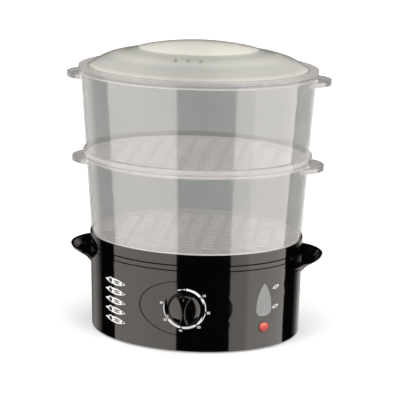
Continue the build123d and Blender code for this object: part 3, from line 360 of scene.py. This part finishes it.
number_radius, number_height = 0.0278, 0.0029
for minutes, turn in zip(range(10, 70, 10), tick_turns):
    words = bpy.data.curves.new(f"minutes_{minutes}", "FONT")
    words.body = str(minutes)
    words.size = number_height / 0.7
    words.align_x, words.align_y = "CENTER", "CENTER"
    words.offset = 0.00006
    flat = bpy.data.objects.new("flat_number", words)
    shape = bpy.data.meshes.new_from_object(flat)
    cx, cz = ring_point(turn, number_radius)
    points = [on_front(cx + v.co.x, cz + v.co.y) for v in shape.vertices]
    number = mesh_piece(f"minutes_{minutes}", points, [tuple(f.vertices) for f in shape.polygons], ink)
    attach(number, "base")
    bpy.data.objects.remove(flat)
    bpy.data.meshes.remove(shape)


def leaf(cx, cz, length, height, lean, count=28):
    """Outline of a leaf pointed at both ends, leaning by so many metres over its length."""
    points = []
    for k in range(count + 1):
        u = k / count
        x = (u - 0.5) * length
        points.append((u, cx + x, cz + lean * (u - 0.5), height / 2 * sin(pi * u) ** 0.8))
    low = [(x, z - h) for u, x, z, h in points]
    high = [(x, z + h) for u, x, z, h in points]
    return low, high, False


label_x, label_top, label_pitch, label_count = -0.0862, 0.0747, 0.0120, 5
for k in range(label_count):
    z = label_top - label_pitch * k
    printed(
        f"food_leaf_{k}",
        [leaf(label_x, z, 0.0270, 0.0078, -0.0016), disc(label_x - 0.0062, z + 0.0008, 0.0037)],
    )
    printed(
        f"food_leaf_mark_{k}",
        [
            leaf(label_x - 0.0062, z + 0.0006, 0.0046, 0.0056, -0.0004, 12),
            disc(label_x + 0.0102, z - 0.0006, 0.0013),
            leaf(label_x + 0.0022, z + 0.0010, 0.0092, 0.0016, -0.0006, 8),
            leaf(label_x + 0.0022, z - 0.0013, 0.0092, 0.0016, -0.0006, 8),
        ],
        dark_ink,
        2 * ink_lift,
    )
gauge_mark_x, gauge_mark_levels = 0.1022, (0.0758, 0.0515)
for k, z in enumerate(gauge_mark_levels):
    printed(f"gauge_mark_{k}", [leaf(gauge_mark_x, z, 0.0068, 0.0044, 0.0022, 12)])
    middle = leaf(gauge_mark_x, z, 0.0040, 0.0020, 0.0014, 12)
    printed(f"gauge_mark_middle_{k}", [middle], dark_ink, 2 * ink_lift)

# ------------------------------------------------------------------ baskets
# Both baskets are injection moulded in clear polycarbonate, smoky and a little hazed. Their
# rims, ears and slotted floors are thicker and look denser and paler. Painted highlights run
# along the rims' top and bottom edges, and a painted sheen pales the walls towards the ends.
# Low moulded ribs stand between the rows of slots, and the food lies on them.
wall_smoke = ((0.134, 0.144, 0.133), (0.157, 0.168, 0.155))
end_sheen, end_sheen_span = (0.31, 0.313, 0.297), (0.106, 0.124)
rim_edge_highlight, rim_clear = (0.62, 0.588, 0.576), (0.34, 0.327, 0.318)
ear_smoke = (0.29, 0.281, 0.272)
floor_smoke = (0.93, 0.885, 0.865)
wall_alpha, dense_alpha, ear_alpha, floor_alpha = 0.42, 0.46, 0.8, 0.94
edge_start, edge_alpha = 0.84, 0.95
wall_coat, rim_gloss = 0.65, 0.45
rim_depth = 0.0085
rim_tone_and_highlight_bands = ((0.0, rim_edge_highlight), (0.12, rim_edge_highlight), (0.2, rim_clear), (0.5, rim_clear), (0.62, rim_edge_highlight))
rib_height, rib_width, rib_length = 0.0008, 0.0020, 0.0138
slot_pitch_x, slot_pitch_y = 0.021, 0.010


def clear_plastic(name, floor_top, rim, wall_half):
    """Smoky clear plastic: thin walls, denser from the rim up and below the top of the floor,
    dark in the ears and where a wall is seen edge on. A painted sheen pales the walls towards
    the ends, and painted highlights run along the rim's top and bottom edges. All sizes in metres."""
    material, shader, part, link = procedural(name)
    place = part("ShaderNodeTexCoord").outputs["Object"]
    axes = part("ShaderNodeSeparateXYZ", place)
    level, side = axes.outputs["Z"], maths(part, "ABSOLUTE", axes.outputs["X"])
    oval = part("ShaderNodeMapping", Vector=place, Scale=(1, 1 / depth_ratio, 0))
    reach = length_of(part, oval.outputs["Vector"])

    def blend(share, below, above):
        mix = part("ShaderNodeMix")
        mix.data_type = "RGBA"
        link(share, mix.inputs["Factor"])
        link(below, mix.inputs[6])
        if isinstance(above, tuple):
            mix.inputs[7].default_value = (*above, 1)
        else:
            link(above, mix.inputs[7])
        return mix.outputs[2]

    thick = shift(part, level, rim - 0.0006, rim + 0.0002)
    floor = shift(part, level, floor_top + 0.0006, floor_top + 0.0001)
    outside = shift(part, reach, wall_half + 0.0008, wall_half + 0.0016)
    ear_tip = shift(part, side, wall_half + 0.0004, wall_half + 0.0014)
    ear = maths(part, "MAXIMUM", ear_tip, maths(part, "SUBTRACT", outside, thick))

    drift = part("ShaderNodeTexNoise", Vector=place, Scale=14.0, Detail=3.0)
    wall = ramp_of(part, drift.outputs["Fac"], ((0.3, wall_smoke[0]), (0.7, wall_smoke[1])))
    # painted highlights at the rim's top and bottom edges, with the rim's own denser tone between
    bands = ramp_of(part, shift(part, level, rim, rim + rim_depth), rim_tone_and_highlight_bands)
    # painted sheen: the wall is paler towards the ends, where it turns away
    ends = blend(shift(part, side, *end_sheen_span), wall, end_sheen)
    colour = blend(floor, blend(ear, blend(thick, ends, bands), ear_smoke), floor_smoke)
    link(colour, shader.inputs["Base Color"])

    facing = part("ShaderNodeLayerWeight", Blend=0.5).outputs["Facing"]
    dense = shift(part, thick, 0.0, 1.0, wall_alpha, dense_alpha)
    for share, alpha in ((ear, ear_alpha), (floor, floor_alpha)):
        dense = maths(part, "MAXIMUM", dense, shift(part, share, 0.0, 1.0, 0.0, alpha))
    edge = shift(part, facing, edge_start, 1.0, 0.0, edge_alpha)
    link(maths(part, "MAXIMUM", dense, edge), shader.inputs["Alpha"])

    solid = maths(part, "MAXIMUM", thick, ear)
    link(shift(part, solid, 0.0, 1.0, wall_coat, 0.0), shader.inputs["Coat Weight"])
    link(shift(part, thick, 0.0, 1.0, 1.0, rim_gloss), shader.inputs["Specular IOR Level"])
    fine = part("ShaderNodeTexNoise", Vector=place, Scale=90.0, Detail=2.0)
    link(shift(part, fine.outputs["Fac"], 0.0, 1.0, 0.07, 0.12), shader.inputs["Roughness"])
    shader.inputs["IOR"].default_value = 1.62
    shader.inputs["Coat Roughness"].default_value = 0.05
    return material


lower_floor, lower_rim, lower_half = 0.1214, 0.2130, 0.1326
upper_floor, upper_rim, upper_half = 0.2166, 0.3150, 0.1388
dress(clear_plastic("lower_basket_plastic", lower_floor, lower_rim, lower_half), "lower_basket")
dress(clear_plastic("upper_basket_plastic", upper_floor, upper_rim, upper_half), "upper_basket")
rib_plastic = finish(
    "rib_plastic", (0.93, 0.885, 0.865), (0.95, 0.91, 0.89), 0.02, (0.15, 0.25), Specular_IOR_Level=0.8
)


def floor_ribs(name, body, floor_top, free_half):
    """Rounded ribs that run across a basket's floor, one on the land behind each slot."""
    free_depth = free_half * depth_ratio
    columns, lanes = int(free_half / slot_pitch_x), int(free_depth / slot_pitch_y)
    section = ((-0.5, 0.0), (-0.36, 0.7), (0.0, 1.0), (0.36, 0.7), (0.5, 0.0))
    stations = ((-0.5, 0.0), (-0.47, 0.75), (-0.42, 1.0), (0.42, 1.0), (0.47, 0.75), (0.5, 0.0))
    count = len(section)
    points, faces = [], []
    for column in range(-columns, columns + 1):
        for lane in range(-lanes, lanes):
            x, y = column * slot_pitch_x, (lane + 0.5) * slot_pitch_y
            if hypot(x / free_half, y / free_depth) >= 0.97:
                continue
            start = len(points)
            for along, full in stations:
                for across, rise in section:
                    z = floor_top + rise * full * rib_height
                    points.append((x + along * rib_length, y + across * rib_width, z))
            for k in range(len(stations) - 1):
                for n in range(count - 1):
                    a = start + count * k + n
                    faces.append((a, a + count, a + count + 1, a + 1))
    ribs = mesh_piece(name, points, faces, rib_plastic)
    ribs.visible_shadow = False  # as clear as the floor they stand on
    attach(ribs, body)


floor_ribs("lower_floor_ribs", "lower_basket", lower_floor, 0.1105)
floor_ribs("upper_floor_ribs", "upper_basket", upper_floor, 0.1164)

# ------------------------------------------------------------------ lid
# The lid is a shallow dome moulded in a warmer, frosted grade of the same plastic and rests on
# the top rim, and its flange is smoky. Over its own frosted tint it carries painted light and
# shade in rings: the crown panel and shoulder are painted paler than the thin band between them,
# a painted highlight and a painted shadow line run where the dome meets the flange, and a
# painted sheen pales it towards the sides.
lid_half = 0.1412
crown_cream_and_light, crease_painted_shade, shoulder = (0.53, 0.506, 0.455), (0.31, 0.31, 0.285), (0.40, 0.39, 0.357)
# painted light and shade: paler crown and shoulder, darker bands, and a highlight line and a shadow line at
# the flange
lid_tint_light_and_shade_rings = (
    (0.00, crown_cream_and_light), (0.49, crown_cream_and_light), (0.505, crease_painted_shade), (0.57, (0.29, 0.29, 0.268)),
    (0.67, shoulder), (0.78, (0.30, 0.30, 0.278)), (0.87, (0.32, 0.311, 0.286)),
    (0.905, (0.44, 0.42, 0.375)), (0.918, (0.23, 0.21, 0.20)), (0.93, (0.35, 0.33, 0.32)),
    (1.0, (0.37, 0.35, 0.34)),
)


def lid_plastic():
    """Frosted plastic in its own tint, with painted light and shade in rings by the oval distance
    from the middle of the lid, and a painted sheen that pales it towards the sides.
    """
    material, shader, part, link = procedural("frosted_cream_plastic")
    place = part("ShaderNodeTexCoord").outputs["Object"]
    flat = part("ShaderNodeMapping", Vector=place)
    flat.inputs["Scale"].default_value = (1 / lid_half, 1 / (lid_half * depth_ratio), 0)
    tone = ramp_of(part, length_of(part, flat.outputs["Vector"]), lid_tint_light_and_shade_rings)
    facing = part("ShaderNodeLayerWeight", Blend=0.5).outputs["Facing"]
    shade = shift(part, facing, 0.80, 1.0, 1.0, 0.35)  # darker where it is seen edge on
    side = maths(part, "ABSOLUTE", part("ShaderNodeSeparateXYZ", place).outputs["X"])
    # painted sheen: paler towards the sides of the lid
    side_highlight = shift(part, side, 0.012, 0.06, 0.93, 1.1)
    dimmed = part("ShaderNodeVectorMath", tone, operation="SCALE")
    link(maths(part, "MULTIPLY", shade, side_highlight), dimmed.inputs["Scale"])
    link(dimmed.outputs["Vector"], shader.inputs["Base Color"])
    fine = part("ShaderNodeTexNoise", Vector=place, Scale=60.0, Detail=2.0)
    link(shift(part, fine.outputs["Fac"], 0.0, 1.0, 0.16, 0.22), shader.inputs["Roughness"])
    shader.inputs["Specular IOR Level"].default_value = 0.3
    shader.inputs["Alpha"].default_value = 0.78
    return material


dress(lid_plastic(), "lid")
for clear in ("lower_basket", "upper_basket", "lid"):
    node[clear].visible_shadow = False  # the clear pieces let the light through

# ------------------------------------------------------------------ studio
# Two tall soft panels stand to the front left and right and show in the glossy walls, and
# narrow ones behind light the edges. A wide soft lamp hangs overhead.
panel_distance = 1.6
panel_low, panel_high = -1.6, 1.9


def reflector(name, *glow):
    """A glowing panel that only gloss sees: turns from the front in degrees, with the
    strength of its glow at each."""
    material = bpy.data.materials.new(name)
    material.use_nodes = True
    tree = material.node_tree
    tree.nodes.clear()
    lit = tree.nodes.new("ShaderNodeEmission")
    lit.inputs["Color"].default_value = (1.0, 0.925, 0.88, 1)
    level = tree.nodes.new("ShaderNodeAttribute")
    level.attribute_name = "glow"
    tree.links.new(level.outputs["Fac"], lit.inputs["Strength"])
    surface = tree.nodes.new("ShaderNodeOutputMaterial").inputs["Surface"]
    tree.links.new(lit.outputs["Emission"], surface)
    points, faces, levels = [], [], []
    for (turn_from, low), (turn_to, high) in zip(glow[:-1], glow[1:]):
        for k in range(9):
            turn = radians(turn_from + (turn_to - turn_from) * k / 8)
            x, y = panel_distance * sin(turn), -panel_distance * cos(turn)
            points += [(x, y, panel_low), (x, y, panel_high)]
            levels += [low + (high - low) * k / 8] * 2
            if k:
                n = len(points)
                faces.append((n - 4, n - 2, n - 1, n - 3))
    panel = mesh_piece(name, points, faces, material)
    panel.data.attributes.new("glow", "FLOAT", "POINT").data.foreach_set("value", levels)
    panel.visible_camera = panel.visible_diffuse = panel.visible_shadow = False
    panel.visible_transmission = False
    material.cycles.emission_sampling = "NONE"


reflector("panel_left", (-77, 2.5), (-50, 3.0), (-14.3, 2.8))
reflector("panel_right", (29.5, 2.5), (44, 2.7), (48, 3.6), (98, 3.6))
reflector(
    "panel_rear_left",
    (-150, 0.2), (-136, 0.5), (-128, 0.85), (-119, 0.85), (-111, 0.6), (-101, 0.0),
)
reflector("panel_rear_right", (124, 0.0), (136, 0.32), (150, 0.9), (160, 0.85), (172, 0.3))


def softbox(name, place, aim, width, height, watts):
    """A soft rectangular lamp that points at a place on the object."""
    light = bpy.data.lights.new(name, "AREA")
    light.shape = "RECTANGLE"
    light.size, light.size_y = width, height
    light.energy = watts
    lamp = bpy.data.objects.new(name, light)
    lamp.location = place
    lamp.rotation_euler = (Vector(aim) - Vector(place)).to_track_quat("-Z", "Y").to_euler()
    bpy.context.scene.collection.objects.link(lamp)
    lamp.visible_glossy = False


softbox("lamp_over", (0.1, -0.2, 2.2), (0, 0, 0.1), 2.2, 2.0, 57)
softbox("lamp_left", (-1.7, -1.4, 1.1), (0, 0, 0.15), 1.2, 1.6, 24)
softbox("lamp_right", (1.7, -1.3, 1.1), (0, 0, 0.15), 1.2, 1.6, 22)

world = bpy.data.worlds.new("studio_air")
world.use_nodes = True
bpy.context.scene.world = world
air = world.node_tree
ambient = air.nodes["Background"]
ambient.inputs["Color"].default_value = (0.9, 0.9, 0.9, 1)
ambient.inputs["Strength"].default_value = 0.35
white = air.nodes.new("ShaderNodeBackground")
white.inputs["Color"].default_value = (1, 1, 1, 1)
dark = air.nodes.new("ShaderNodeBackground")
dark.inputs["Color"].default_value = (0.005, 0.005, 0.005, 1)
path = air.nodes.new("ShaderNodeLightPath")
seen = air.nodes.new("ShaderNodeMixShader")
air.links.new(path.outputs["Is Camera Ray"], seen.inputs["Fac"])
air.links.new(ambient.outputs["Background"], seen.inputs[1])
air.links.new(white.outputs["Background"], seen.inputs[2])
gloss = air.nodes.new("ShaderNodeMixShader")
air.links.new(path.outputs["Is Glossy Ray"], gloss.inputs["Fac"])
air.links.new(seen.outputs["Shader"], gloss.inputs[1])
air.links.new(dark.outputs["Background"], gloss.inputs[2])
air.links.new(gloss.outputs["Shader"], air.nodes["World Output"].inputs["Surface"])

# ------------------------------------------------------------------ camera
# A long lens stands a little right of the middle and looks down over the lid, with a slight
# roll. Its frame is shifted a few hundredths, so that the steamer sits where it should.
camera_turn, camera_rise, camera_roll = radians(7.5), radians(15.9), radians(0.8)
camera_reach = 1.6625
frame_side, focal_length = 400, 1388  # both in pixels
frame_middle = (196.5, 191.5)
aim = Vector((0, 0, 0.17075))
level_back = Vector((sin(camera_turn), -cos(camera_turn), 0))
back = level_back * cos(camera_rise) + Vector((0, 0, sin(camera_rise)))
level_right = Vector((cos(camera_turn), sin(camera_turn), 0))
level_up = back.cross(level_right)
right = level_right * cos(camera_roll) + level_up * sin(camera_roll)
up = level_up * cos(camera_roll) - level_right * sin(camera_roll)
lens = bpy.data.cameras.new("camera")
lens.sensor_width = 36.0
lens.lens = lens.sensor_width * focal_length / frame_side
lens.shift_x, lens.shift_y = 0.5 - frame_middle[0] / frame_side, frame_middle[1] / frame_side - 0.5
lens.clip_end = 30
camera = bpy.data.objects.new("camera", lens)
turned = Matrix((right, up, back)).transposed().to_4x4()
camera.matrix_world = Matrix.Translation(aim + back * camera_reach) @ turned
bpy.context.scene.collection.objects.link(camera)
bpy.context.scene.camera = camera
bpy.context.scene.view_settings.view_transform = "Standard"
